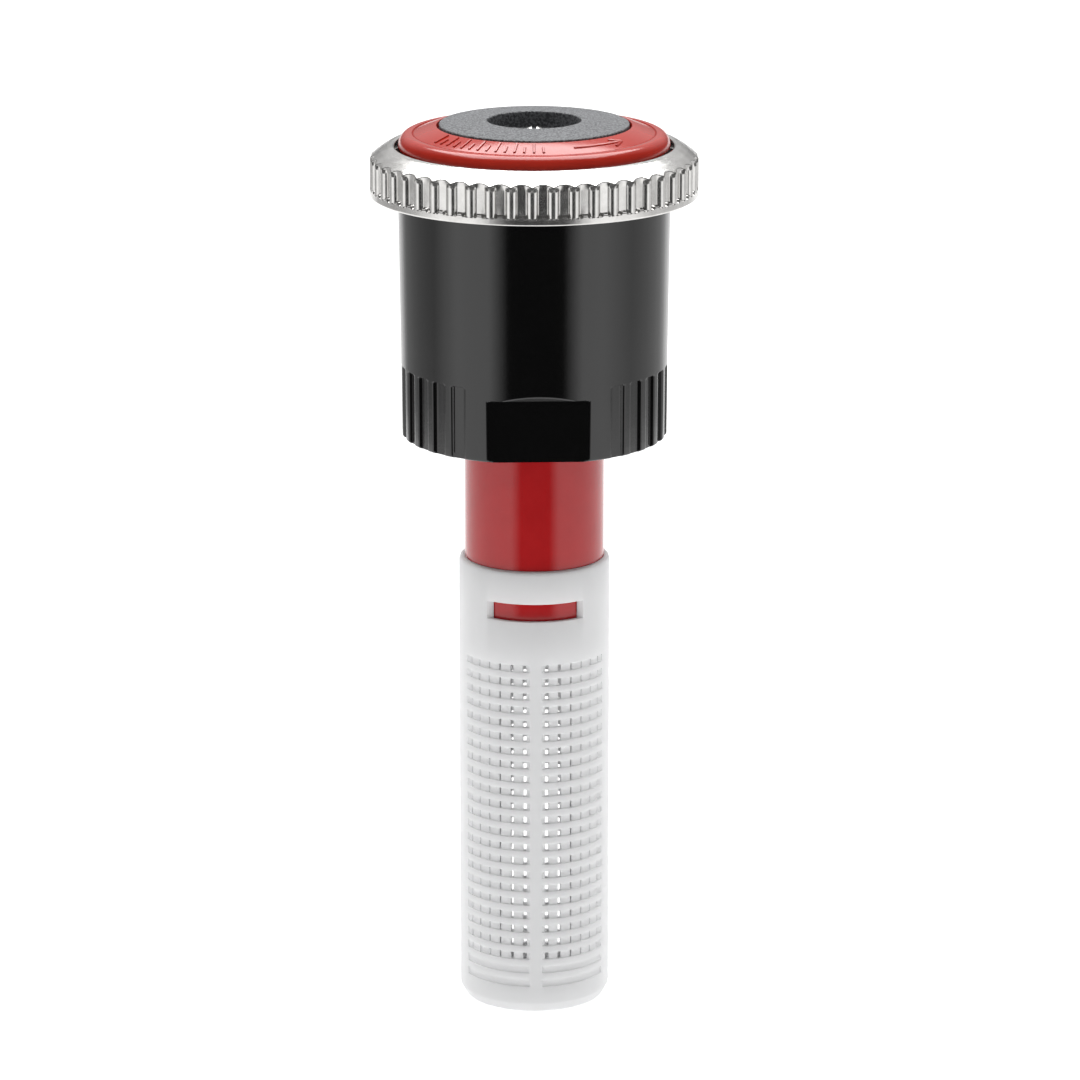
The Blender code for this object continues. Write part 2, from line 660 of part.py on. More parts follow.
def main():
    remove_old_objects()
    housing = add_body("housing")
    add_collar_housing(housing)
    add_inlet_neck(housing)
    add_nozzle(housing)
    add_shaft_guide(housing)
    add_seals_and_seat(housing)
    add_arc_ring(add_body("arc_ring"))
    add_filter(add_body("filter"))
    add_spring_and_seat(add_body("carrier"))
    add_shaft(add_body("shaft"))
    add_rotor(add_body("rotor"))
    add_throttle(add_body("throttle"))


main()
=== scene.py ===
"""Looks of the rotary sprinkler nozzle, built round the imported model.

Outlines are in millimetres and become metres when a mesh is made. Heights are measured from the
filter's foot, and angles in degrees from the front, which is -Y, towards +X.
"""

import math

import bmesh
import bpy
from mathutils import Matrix, Vector


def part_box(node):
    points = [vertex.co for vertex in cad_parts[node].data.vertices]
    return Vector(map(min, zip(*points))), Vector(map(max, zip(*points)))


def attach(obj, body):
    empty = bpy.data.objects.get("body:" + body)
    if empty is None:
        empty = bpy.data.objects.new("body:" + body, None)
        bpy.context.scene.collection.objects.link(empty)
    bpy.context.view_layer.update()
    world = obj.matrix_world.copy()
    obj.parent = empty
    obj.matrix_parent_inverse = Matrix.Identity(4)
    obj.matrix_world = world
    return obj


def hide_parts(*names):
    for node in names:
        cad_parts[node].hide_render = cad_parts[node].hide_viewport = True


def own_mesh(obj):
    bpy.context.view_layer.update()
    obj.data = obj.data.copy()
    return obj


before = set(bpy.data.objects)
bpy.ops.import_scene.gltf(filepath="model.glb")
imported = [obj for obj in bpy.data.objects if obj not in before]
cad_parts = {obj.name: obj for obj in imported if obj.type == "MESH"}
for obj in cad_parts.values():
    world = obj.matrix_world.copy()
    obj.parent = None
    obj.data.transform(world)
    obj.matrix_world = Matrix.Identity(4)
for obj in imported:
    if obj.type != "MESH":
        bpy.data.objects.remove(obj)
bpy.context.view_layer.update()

MM = 0.001


def extent(node):
    """Outer radius, foot and top of a turned CAD node, in millimetres."""
    low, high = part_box(node)
    return high.x / MM, low.z / MM, high.z / MM


COLLAR_RADIUS, COLLAR_FOOT, COLLAR_TOP = extent("collar_housing")
RING_RADIUS, RING_FOOT, RING_TOP = extent("knurled_ring")
FILTER_RADIUS, FILTER_FOOT, FILTER_TOP = extent("filter_screen")
NECK_FLANGE_RADIUS, NECK_FOOT, NECK_TOP = extent("inlet_neck")
RIM_RADIUS, ROTOR_FOOT, ROTOR_TOP = extent("rotor_plate")
CAP_RADIUS, CAP_FOOT, CAP_TOP = extent("top_cap")
SHAFT_RADIUS, SHAFT_FOOT, SHAFT_TOP = extent("adjusting_shaft")
CORE_RADIUS, CORE_FOOT, CORE_TOP = extent("ring_core")
GASKET_RADIUS, GASKET_FOOT, GASKET_TOP = extent("riser_gasket")
BUSH_RADIUS, BUSH_FOOT, BUSH_TOP = extent("upper_bearing")
SPRING_OUTER_RADIUS, SPRING_FOOT, SPRING_TOP = extent("return_spring")

# Collar
COLLAR_TURN = 2.0
COLLAR_SHOULDER = COLLAR_TOP - 2.5
GRIP_TOP = COLLAR_FOOT + 6.3
GRIP_DEPTH = 0.3
GRIP_PITCH = 10.75
GRIP_COUNT = 11
GRIP_HALF_WIDTH = 0.52
GRIP_SIDE_SLOPE = 1.8
GRIP_END_SLOPE = 5
GRIP_OFFSETS = (0.25, 0.47, 0.53, 0.58, 0.63, 0.68, 0.74, 0.9)
FLAT_DISTANCE = 10.75
FLAT_LEDGE = 0.4
FLAT_RAMP = 1.0
FLAT_TOP = COLLAR_FOOT + 5.4
FOOT_RADIUS = COLLAR_RADIUS - 0.21
BEARING_RADIUS = 10.9
CAVITY_RADIUS = 10.0
CLIP_GROOVE_FOOT = 65.3
CLIP_GROOVE_TOP = 66.4
THREAD_RADIUS = 7.94
THREAD_DEPTH = 0.42
THREAD_PITCH = 25.4 / 28
THREAD_FOOT = COLLAR_FOOT + 0.5
THREAD_TOP = COLLAR_FOOT + 7.3
THREAD_FADE = 0.6
WEB_FOOT = COLLAR_FOOT + 8.5
WEB_TOP = COLLAR_FOOT + 10.1

# Arc ring
RING_TURN = -0.6
FLUTE_COUNT = 49
FLUTE_DEPTH = 0.36
HALF_PITCH = math.pi * RING_RADIUS / FLUTE_COUNT
FLOOR_HALF_WIDTH = 0.4
RIDGE_HALF_WIDTH = HALF_PITCH - FLOOR_HALF_WIDTH
RIDGE_BEND = (RIDGE_HALF_WIDTH**2 + FLUTE_DEPTH**2) / (2 * FLUTE_DEPTH)
BEAD_TOP = RING_FOOT + 0.5
RING_EDGE_TOP = RING_FOOT + 3.3
RING_OPENING = 12.1
RING_WALL = 0.5
FLUTE_OFFSETS = (0.0, 0.1, 0.2, 0.29, 0.37, 0.43, 0.47, 0.5, 0.53, 0.6, 0.72)

# Rotor, cap and shaft
RIM_FOOT = 76.6
BULGE_MIDDLE = 77.12
BULGE_HEIGHT = 1.26
RIDGE_HEIGHT = 78.42
BAND_FOOT_RADIUS = 10.45
POCKET_RADIUS = CAP_RADIUS + 0.2
POCKET_FLOOR = 78.2
CHANNEL_COUNT = 16
CHANNEL_SWEEP = 24.0
CHANNEL_DEPTH = 0.55
TICK_COUNT = 14
TICK_PITCH = 4.75
FIRST_TICK = -57
ARROW_RADIUS = 9.5
ARROW_TURNS = (21, 49)
STROKE_WIDTH = 0.26
CAP_HOLE_RADIUS = 4.05
CAP_FLOOR = 78.05
BUSH_CLEARANCE = 0.1
SHAFT_CROWN = SHAFT_TOP + 0.15
SHAFT_CRESTS = 7
SHAFT_CREST_PITCH = 0.8
SHAFT_GROOVE_FOOT = 47.2
SHAFT_GROOVE_TOP = 47.75
SHAFT_SLOT_HALF_WIDTH = 0.21
SHAFT_SLOT_DEPTH = 0.7

# Filter and neck
FILTER_TURN = 1.2
FILTER_BORE = 6.2
BAR_RADIUS = 5.9
GROOVE_RADIUS = 6.54
CHAMFER_HEIGHT = 0.9
CHAMFER_DEPTH = 0.5
MOUTH_ROUNDING = 0.4
THIN_LIP = 0.055
GRID_FOOT = 2.5
GRID_TOP = 32.9
GRID_ROWS = 24
GRID_HALF_ANGLE = 63.5
RIB_HALF_ANGLE = 4.9
FIRST_SLIT = 8.5
SLIT_PITCH = 9.9
SLIT_HALF_ANGLES = (1.4, 1.1, 0.5)
STRAIGHT_HALF_ANGLE = 29.5
SLIT_COUNT = 6
REAR_DROP = 0.32
PLAIN_FRONT_ROWS = 2
SLEEVE_FOOT = 33.4
CATCH_FOOT = 36.2
CATCH_TOP = 37.8
CATCH_HALF_ANGLE = 39.2
CATCH_SPLAY = 3.4
NECK_RADIUS = 6.13
NECK_BORE = 4.6
SPIGOT_RADIUS = 5.8
BEAD_RADIUS = FILTER_BORE - 0.1
KEYWAY_RADIUS = 5.2
KEYWAY_HALF_WIDTH = 0.8
KEYWAYS = ((NECK_FOOT - 1, 45.2), (47.3, 56.2))

# Spring
WIRE_RADIUS = 0.25
SPRING_TURNS = 6.5
SPRING_STEPS = 28

# Stage
FLOOR_SHADE = 0.2
FLOOR_REACH = 6.0
FLOOR_DROP = 0.00005
CARD_HEIGHT = 0.001
CARD_STEPS = 12
CAMERA_TILT = 15.19


def soft_min(a, b, blend):
    """The smaller of two numbers, with a rounded corner where they cross."""
    share = min(max(0.5 + 0.5 * (b - a) / blend, 0.0), 1.0)
    return b + (a - b) * share - blend * share * (1 - share)


def soft_max(a, b, blend):
    """The larger of two numbers, with a rounded corner where they cross."""
    return -soft_min(-a, -b, blend)


def degrees_on(radius, length):
    """The angle that a length in millimetres spans on a circle."""
    return length / radius / math.radians(1)


def fillet(outline, steps=4):
    """Rounds the corners of a closed outline of (radius, height, fillet radius) points."""
    points = []
    for place, (radius, height, bend) in enumerate(outline):
        corner = Vector((radius, height))
        if not bend:
            points.append((radius, height))
            continue
        before = (Vector(outline[place - 1][:2]) - corner).normalized()
        after = (Vector(outline[(place + 1) % len(outline)][:2]) - corner).normalized()
        half = before.angle(after) / 2
        centre = corner + (before + after).normalized() * bend / math.sin(half)
        start = corner + before * bend / math.tan(half) - centre
        end = corner + after * bend / math.tan(half) - centre
        for step in range(steps + 1):
            spoke = start.lerp(end, step / steps).normalized() * bend
            points.append(tuple(centre + spoke))
    return points


def split(outline, length, low=-math.inf, high=math.inf):
    """Adds points to a closed outline, so that no side between two heights is longer than length."""
    points = []
    for start, end in zip(outline, outline[1:] + outline[:1]):
        points.append(start)
        middle = (start[1] + end[1]) / 2
        if low <= middle <= high:
            count = math.ceil(math.dist(start, end) / length)
            for step in range(1, count):
                share = step / count
                points.append(tuple(a + (b - a) * share for a, b in zip(start, end)))
    return points


def washer(bore, radius, foot, top, bend):
    """Closed outline of a ring with rounded corners."""
    return fillet([(bore, foot, bend), (radius, foot, bend), (radius, top, bend), (bore, top, bend)])


def evenly(count):
    """Evenly spaced angles of a full turn, in degrees."""
    return [360 * step / count for step in range(count)]


def crowded(centres, offsets, base):
    """Angles of a full turn: some at offsets on each side of each centre, and others between them
    that are about a base step apart."""
    around = [side * offset for offset in offsets for side in (-1, 1)]
    fine = [(centre + offset) % 360 for centre in centres for offset in around]
    angles = []
    for angle in sorted(fine):
        if not angles or angle - angles[-1] > 0.05:
            angles.append(angle)
    gaps = zip(angles, angles[1:] + [angles[0] + 360])
    for start, end in list(gaps):
        count = max(1, round((end - start) / base))
        angles += [(start + (end - start) * step / count) % 360 for step in range(1, count)]
    return sorted(angles)


def at(radius, turn, height):
    """A point in metres, from a radius, an angle from the front and a height."""
    angle = math.radians(turn)
    return (radius * math.sin(angle) * MM, -radius * math.cos(angle) * MM, height * MM)


def lathe(outline, columns, place=None):
    """Vertices and faces of a closed outline turned about the axis. place moves a point, given and
    answered as radius, height and angle. An outline that starts and ends on the axis closes there."""
    vertices, faces = [], []
    for turn in columns:
        for radius, height in outline:
            spot = place(radius, height, turn) if place else (radius, height, turn)
            vertices.append(at(spot[0], spot[2], spot[1]))
    count = len(outline)
    on_axis = outline[0][0] == 0
    for column in range(len(columns)):
        here, there = column * count, (column + 1) % len(columns) * count
        for row in range(count - 1 if on_axis else count):
            up = (row + 1) % count
            faces.append((here + row, there + row, there + up, here + up))
    return vertices, faces


def cells(columns, rows, rings, solid, spot):
    """Vertices and faces of the closed surface round the solid cells of a polar grid. spot gives the
    point at a column, row and ring."""
    sides = {
        (0, 0, 1): ((0, 0, 1), (1, 0, 1), (1, 1, 1), (0, 1, 1)),
        (0, 0, -1): ((0, 0, 0), (0, 1, 0), (1, 1, 0), (1, 0, 0)),
        (0, 1, 0): ((0, 1, 0), (0, 1, 1), (1, 1, 1), (1, 1, 0)),
        (0, -1, 0): ((0, 0, 0), (1, 0, 0), (1, 0, 1), (0, 0, 1)),
        (-1, 0, 0): ((0, 0, 0), (0, 0, 1), (0, 1, 1), (0, 1, 0)),
        (1, 0, 0): ((1, 0, 0), (1, 1, 0), (1, 1, 1), (1, 0, 1)),
    }
    vertices, faces, known = [], [], {}

    def vertex(column, row, ring):
        key = (column % columns, row, ring)
        if key not in known:
            known[key] = len(vertices)
            vertices.append(spot(*key))
        return known[key]

    for column in range(columns):
        for row in range(rows):
            for ring in range(rings):
                if not solid(column, row, ring):
                    continue
                for step, corners in sides.items():
                    if not solid((column + step[0]) % columns, row + step[1], ring + step[2]):
                        faces.append([vertex(column + a, row + b, ring + c) for a, b, c in corners])
    return vertices, faces


def tube(path, radius, sides):
    """Vertices and faces of a closed round wire along points in millimetres."""
    vertices, faces = [], []
    for place, point in enumerate(path):
        ahead = Vector(path[min(place + 1, len(path) - 1)]) - Vector(path[max(place - 1, 0)])
        out = Vector((point[0], point[1], 0)).normalized()
        up = ahead.cross(out).normalized()
        for angle in evenly(sides):
            spoke = out * math.cos(math.radians(angle)) + up * math.sin(math.radians(angle))
            vertices.append((Vector(point) + spoke * radius) * MM)
    for place in range(len(path) - 1):
        for side in range(sides):
            here, beside = place * sides + side, place * sides + (side + 1) % sides
            faces.append((here, beside, beside + sides, here + sides))
    faces += [tuple(range(sides)), tuple(len(vertices) - sides + side for side in range(sides))]
    return vertices, faces


def make_piece(name, shape, body, material, replaced=(), sharp=38):
    """Makes an object of vertices and faces, and lets it ride on a body in place of CAD nodes."""
    mesh = bpy.data.meshes.new(name)
    mesh.from_pydata([tuple(vertex) for vertex in shape[0]], [], shape[1])
    work = bmesh.new()
    work.from_mesh(mesh)
    bmesh.ops.remove_doubles(work, verts=work.verts, dist=2e-7)
    bmesh.ops.dissolve_degenerate(work, edges=work.edges, dist=1e-7)
    bmesh.ops.recalc_face_normals(work, faces=work.faces)
    work.to_mesh(mesh)
    work.free()
    piece = bpy.data.objects.new(name, mesh)
    bpy.context.scene.collection.objects.link(piece)
    smooth(piece, sharp)
    piece.data.materials.append(material)
    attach(piece, body)
    if replaced:
        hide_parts(*replaced)
    return piece


def smooth(piece, sharp):
    """Shades a piece smooth, apart from edges sharper than an angle in degrees."""
    piece.data.shade_smooth()
    piece.data.set_sharp_from_angle(angle=math.radians(sharp))


def cut(piece, boxes):
    """Cuts boxes, each two corners in millimetres, out of a piece."""
    mesh = bpy.data.meshes.new("cutter")
    work = bmesh.new()
    for low, high in boxes:
        low, high = Vector(low) * MM, Vector(high) * MM
        place = Matrix.Translation((low + high) / 2) @ Matrix.Diagonal((*(high - low), 1))
        bmesh.ops.create_cube(work, size=1, matrix=place)
    work.to_mesh(mesh)
    work.free()
    cutter = bpy.data.objects.new("cutter", mesh)
    bpy.context.scene.collection.objects.link(cutter)
    step = piece.modifiers.new("cut", "BOOLEAN")
    step.operation = "DIFFERENCE"
    step.solver = "EXACT"
    step.object = cutter
    freeze(piece)
    bpy.data.objects.remove(cutter)
    bpy.data.meshes.remove(mesh)


def freeze(piece):
    """Turns a piece's modifiers into its mesh."""
    graph = bpy.context.evaluated_depsgraph_get()
    mesh = bpy.data.meshes.new_from_object(piece.evaluated_get(graph))
    piece.modifiers.clear()
    piece.data = mesh


def bevel(piece, width, segments, angle=35):
    """Rounds the sharp edges of a piece by a width in millimetres."""
    step = piece.modifiers.new("rounded_edges", "BEVEL")
    step.width = width * MM
    step.segments = segments
    step.limit_method = "ANGLE"
    step.angle_limit = math.radians(angle)
    step.use_clamp_overlap = False
    freeze(piece)


# Materials


class Nodes:
    """A material under construction: makes nodes and joins them."""

    def __init__(self, name):
        self.material = bpy.data.materials.new(name)
        self.material.use_nodes = True
        self.tree = self.material.node_tree
        self.shader = self.tree.nodes["Principled BSDF"]
        self.place = self.add("ShaderNodeTexCoord").outputs["Object"]

    def add(self, kind, **settings):
        node = self.tree.nodes.new(kind)
        for name, value in settings.items():
            setattr(node, name, value)
        return node

    def join(self, source, target):
        self.tree.links.new(source, target)

    def polar(self, around, along):
        """Coordinates in which grain runs round the axis: radius and height fine, angle coarse."""
        apart = self.add("ShaderNodeSeparateXYZ")
        self.join(self.place, apart.inputs["Vector"])
        flat = self.add("ShaderNodeCombineXYZ")
        self.join(apart.outputs["X"], flat.inputs["X"])
        self.join(apart.outputs["Y"], flat.inputs["Y"])
        length = self.add("ShaderNodeVectorMath", operation="LENGTH")
        self.join(flat.outputs["Vector"], length.inputs[0])
        angle = self.add("ShaderNodeMath", operation="ARCTAN2")
        self.join(apart.outputs["Y"], angle.inputs[0])
        self.join(apart.outputs["X"], angle.inputs[1])
        out = self.add("ShaderNodeCombineXYZ")
        for source, socket, factor in (
            (length.outputs["Value"], "X", along),
            (angle.outputs["Value"], "Y", around),
            (apart.outputs["Z"], "Z", along),
        ):
            scale = self.add("ShaderNodeMath", operation="MULTIPLY")
            self.join(source, scale.inputs[0])
            scale.inputs[1].default_value = factor
            self.join(scale.outputs["Value"], out.inputs[socket])
        return out.outputs["Vector"]

    def noise(self, size, detail=3.0, place=None, rough=0.55):
        """Noise whose lumps are about size millimetres across, or of scale 1 in a given place."""
        node = self.add("ShaderNodeTexNoise")
        node.inputs["Scale"].default_value = 1.0 if place else 1 / (size * MM)
        node.inputs["Detail"].default_value = detail
        node.inputs["Roughness"].default_value = rough
        self.join(place or self.place, node.inputs["Vector"])
        return node.outputs["Fac"]

    def ramp(self, source, low, high, start=0.3, end=0.7):
        """Maps a value from start..end to low..high."""
        node = self.add("ShaderNodeMapRange")
        node.inputs["From Min"].default_value = start
        node.inputs["From Max"].default_value = end
        node.inputs["To Min"].default_value = low
        node.inputs["To Max"].default_value = high
        self.join(source, node.inputs["Value"])
        return node.outputs["Result"]

    def blend(self, source, first, second):
        """Mixes two colours by a value."""
        node = self.add("ShaderNodeMix", data_type="RGBA")
        self.join(source, node.inputs["Factor"])
        node.inputs["A"].default_value = (*first, 1)
        node.inputs["B"].default_value = (*second, 1)
        return node.outputs["Result"]

    def bump(self, source, depth, before=None):
        """Relief of a depth in millimetres."""
        node = self.add("ShaderNodeBump")
        node.inputs["Distance"].default_value = depth * MM
        self.join(source, node.inputs["Height"])
        if before:
            self.join(before, node.inputs["Normal"])
        return node.outputs["Normal"]

    def finish(self, colour=None, roughness=None, normal=None, **constants):
        for source, socket in ((colour, "Base Color"), (roughness, "Roughness"), (normal, "Normal")):
            if source:
                self.join(source, self.shader.inputs[socket])
        for name, value in constants.items():
            self.shader.inputs[name.replace("_", " ")].default_value = value
        return self.material


def moulded(name, dark, light, low, high, grain=0.18, relief=0.0016, **constants):
    """Moulded plastic: faint mottling, uneven gloss, and the mould's fine grain."""
    nodes = Nodes(name)
    cloud = nodes.noise(2.5)
    fine = nodes.noise(grain, 2.0)
    colour = nodes.blend(nodes.ramp(cloud, 0, 1), dark, light)
    gloss = nodes.ramp(fine, low, high)
    waves = nodes.bump(cloud, 4 * relief)
    return nodes.finish(colour, gloss, nodes.bump(fine, relief, waves), **constants)


def grained_grey():
    """Spark-eroded grey plastic: dark and pale grains, and a rough skin."""
    nodes = Nodes("grained_grey")
    grain = nodes.noise(0.2, 1.0)
    speck = nodes.noise(0.09, 2.0)
    cloud = nodes.noise(1.6)
    tone = nodes.add("ShaderNodeMath", operation="ADD")
    nodes.join(nodes.ramp(grain, 0.0, 0.85, 0.42, 0.58), tone.inputs[0])
    nodes.join(nodes.ramp(cloud, 0.0, 0.15), tone.inputs[1])
    colour = nodes.blend(tone.outputs["Value"], (0.046, 0.048, 0.052), (0.146, 0.150, 0.157))
    normal = nodes.bump(speck, 0.02, nodes.bump(grain, 0.09))
    return nodes.finish(colour, nodes.ramp(speck, 0.5, 0.72), normal)


def stamped_steel():
    """Bright stamped stainless: fine drawing lines round the axis, and a faint unevenness."""
    nodes = Nodes("stamped_steel")
    lines = nodes.noise(0, 3.0, nodes.polar(9.0, 14000.0))
    cloud = nodes.noise(1.1, 3.0)
    fine = nodes.noise(0.09, 2.0)
    colour = nodes.blend(nodes.ramp(cloud, 0, 1), (0.60, 0.59, 0.575), (0.70, 0.69, 0.675))
    rough = nodes.add("ShaderNodeMath", operation="ADD")
    nodes.join(nodes.ramp(lines, 0.17, 0.22), rough.inputs[0])
    nodes.join(nodes.ramp(cloud, 0.0, 0.04), rough.inputs[1])
    normal = nodes.bump(fine, 0.0002, nodes.bump(lines, 0.0002))
    return nodes.finish(colour, rough.outputs["Value"], normal, Metallic=1.0)


def turned_steel():
    """Wire and turned steel: lines round the axis, and a tone that drifts a little."""
    nodes = Nodes("turned_steel")
    lines = nodes.noise(0, 2.0, nodes.polar(4.0, 22000.0))
    cloud = nodes.noise(0.6)
    colour = nodes.blend(nodes.ramp(cloud, 0, 1), (0.56, 0.55, 0.53), (0.68, 0.67, 0.66))
    return nodes.finish(colour, nodes.ramp(lines, 0.16, 0.3), nodes.bump(lines, 0.0015), Metallic=1.0)


def turned_brass():
    """Turned brass: lines round the axis, and a tone that drifts a little."""
    nodes = Nodes("turned_brass")
    lines = nodes.noise(0, 2.0, nodes.polar(4.0, 22000.0))
    cloud = nodes.noise(0.8)
    colour = nodes.blend(nodes.ramp(cloud, 0, 1), (0.58, 0.39, 0.14), (0.72, 0.52, 0.22))
    return nodes.finish(colour, nodes.ramp(lines, 0.2, 0.36), nodes.bump(lines, 0.0015), Metallic=1.0)


def milky_white():
    """Slightly translucent white plastic, cool in tone."""
    nodes = Nodes("milky_white")
    cloud = nodes.noise(3.0)
    fine = nodes.noise(0.25, 2.0)
    colour = nodes.blend(nodes.ramp(cloud, 0, 1), (0.955, 0.96, 0.972), (0.965, 0.97, 0.98))
    normal = nodes.bump(fine, 0.002, nodes.bump(cloud, 0.012))
    return nodes.finish(
        colour,
        nodes.ramp(fine, 0.36, 0.48),
        normal,
        Subsurface_Weight=0.5,
        Subsurface_Radius=(1.0, 1.0, 1.0),
        Subsurface_Scale=0.0012,
        Transmission_Weight=0.15,
        IOR=1.25,
    )


BLACK = moulded(
    "satin_black",
    (0.0008, 0.0008, 0.0009),
    (0.0013, 0.0013, 0.0014),
    0.10,
    0.14,
    Specular_IOR_Level=0.65,
)
DULL_BLACK = moulded(
    "dull_black", (0.006, 0.005, 0.005), (0.010, 0.009, 0.009), 0.5, 0.6, Specular_IOR_Level=0.2
)
RED_NECK = moulded(
    "glossy_red", (0.40, 0.008, 0.010), (0.44, 0.010, 0.012), 0.09, 0.13, relief=0.0006
)
RED_RIM = moulded(
    "satin_red",
    (0.33, 0.014, 0.006),
    (0.37, 0.018, 0.008),
    0.14,
    0.2,
    relief=0.0008,
    Specular_IOR_Level=0.45,
)
ACETAL = moulded("natural_acetal", (0.66, 0.63, 0.56), (0.74, 0.71, 0.64), 0.3, 0.42)
RUBBER = moulded(
    "matte_rubber", (0.012, 0.012, 0.013), (0.022, 0.022, 0.023), 0.6, 0.8, relief=0.006
)
GREY = grained_grey()
STEEL = stamped_steel()
WIRE = turned_steel()
BRASS = turned_brass()
WHITE = milky_white()


# Pieces


def collar_place(radius, height, turn):
    """Cuts the flats and grip grooves in the collar's outside, and the thread in its bore."""
    if radius > 10.7 and height < COLLAR_SHOULDER - 1:
        for side in (0, 180):
            apart = (turn - COLLAR_TURN - side + 180) % 360 - 180
            if abs(apart) < 60:
                above = max(0, height - FLAT_TOP)
                away = FLAT_DISTANCE + min(FLAT_LEDGE, above * 8) + above * FLAT_RAMP
                radius = soft_min(radius, away / math.cos(math.radians(apart)), 0.05)
        apart = (turn - COLLAR_TURN + 180) % 180 - 90
        nearest = round(apart / GRIP_PITCH)
        if abs(nearest) <= GRIP_COUNT // 2:
            across = abs(apart - nearest * GRIP_PITCH) * math.radians(1) * FOOT_RADIUS
            rise = max(0, across - GRIP_HALF_WIDTH) * GRIP_SIDE_SLOPE
            rise += max(0, height - GRIP_TOP) * GRIP_END_SLOPE
            radius = soft_min(radius, FOOT_RADIUS - GRIP_DEPTH + rise, 0.09)
    if abs(radius - THREAD_RADIUS) < 0.01 and height < WEB_FOOT:
        fade = min(1, max(0, height - THREAD_FOOT) / THREAD_FADE)
        fade *= min(1, max(0, THREAD_TOP - height) / THREAD_FADE)
        phase = (height / THREAD_PITCH - turn / 360) % 1
        radius -= THREAD_DEPTH * fade * min(1, 1.35 * (1 - abs(2 * phase - 1)))
    return radius, height, turn


def collar_columns():
    """Angles of the collar's mesh, close together at the grip grooves and across the flats."""
    places = [(place - GRIP_COUNT // 2) * GRIP_PITCH for place in range(GRIP_COUNT)]
    grips = [side + COLLAR_TURN + place for side in (90, 270) for place in places]
    columns = crowded(grips, [degrees_on(FOOT_RADIUS, length) for length in GRIP_OFFSETS], 1.5)
    edge = math.degrees(math.acos(FLAT_DISTANCE / FOOT_RADIUS))
    for side in (0, 180):
        for way in (-1, 1):
            corner = COLLAR_TURN + side + way * edge
            columns += [(corner + offset) % 360 for offset in (-0.5, -0.2, 0, 0.2, 0.5)]
        columns += [(COLLAR_TURN + side + 0.6 * step) % 360 for step in range(-40, 41)]
    return sorted(set(columns))


def add_collar():
    """Black collar with grip grooves, two wrench flats and the riser's thread."""
    top, bore = COLLAR_SHOULDER, THREAD_RADIUS
    outline = fillet(
        [
            (bore + 0.35, COLLAR_FOOT, 0),
            (FOOT_RADIUS, COLLAR_FOOT, 0.22),
            (FOOT_RADIUS + 0.03, GRIP_TOP + 1.5, 0),
            (COLLAR_RADIUS, top, 0.22),
            (BEARING_RADIUS, top, 0.1),
            (BEARING_RADIUS, COLLAR_TOP, 0.2),
            (CAVITY_RADIUS, COLLAR_TOP, 0.1),
            (CAVITY_RADIUS, CLIP_GROOVE_TOP, 0),
            (CAVITY_RADIUS + 0.5, CLIP_GROOVE_TOP, 0),
            (CAVITY_RADIUS + 0.5, CLIP_GROOVE_FOOT, 0),
            (CAVITY_RADIUS, CLIP_GROOVE_FOOT, 0),
            (CAVITY_RADIUS, WEB_TOP, 0),
            (NECK_RADIUS + 0.2, WEB_TOP, 0),
            (NECK_RADIUS + 0.2, WEB_FOOT, 0),
            (bore, WEB_FOOT, 0),
            (bore, COLLAR_FOOT + 0.4, 0),
        ]
    )
    outline = split(outline, 0.6)
    outline = split(outline, 0.06, FLAT_TOP - 0.35, GRIP_TOP + 0.4)
    outline = [
        (radius, height)
        for radius, height in outline
        if abs(radius - bore) >= 0.01 or height >= WEB_FOOT - 0.1
    ]
    rows = round((WEB_FOOT - 0.4 - COLLAR_FOOT - 0.4) / 0.1)
    outline += [(bore, WEB_FOOT - 0.4 - 0.1 * row) for row in range(rows + 1)]
    shape = lathe(outline, collar_columns(), collar_place)
    make_piece("collar_shell", shape, "housing", BLACK, ["collar_housing"])


def ring_place(radius, height, turn):
    """Presses the flutes in the steel ring's outside: flat floors between round ridges, an arched
    ledge at each floor's foot, and an arch from ridge to ridge at its top."""
    turn += RING_TURN
    if radius < RING_RADIUS - RING_WALL or height < BEAD_TOP:
        return radius, height, turn
    flutes = (turn - RING_TURN) * FLUTE_COUNT / 360
    from_ridge = abs((flutes + 0.5) % 1 - 0.5) * 2 * HALF_PITCH
    from_floor = HALF_PITCH - from_ridge
    if from_ridge < RIDGE_HALF_WIDTH:
        sunk = RIDGE_BEND - math.sqrt(RIDGE_BEND**2 - from_ridge**2)
    else:
        sunk = FLUTE_DEPTH
    arched = FLUTE_DEPTH * (1 - (from_floor / HALF_PITCH) ** 2)
    share = min(max((height - RING_EDGE_TOP + 0.4) / 0.35, 0), 1)
    wall = RING_RADIUS - sunk * (1 - share) - arched * share
    arch = BEAD_TOP + 0.08 + 0.3 * max(0, 1 - (from_floor / FLOOR_HALF_WIDTH) ** 2)
    ledge = min(RING_RADIUS, RING_RADIUS - 4 * (height - arch))
    return soft_min(radius, soft_max(wall, ledge, 0.03), 0.05), height, turn


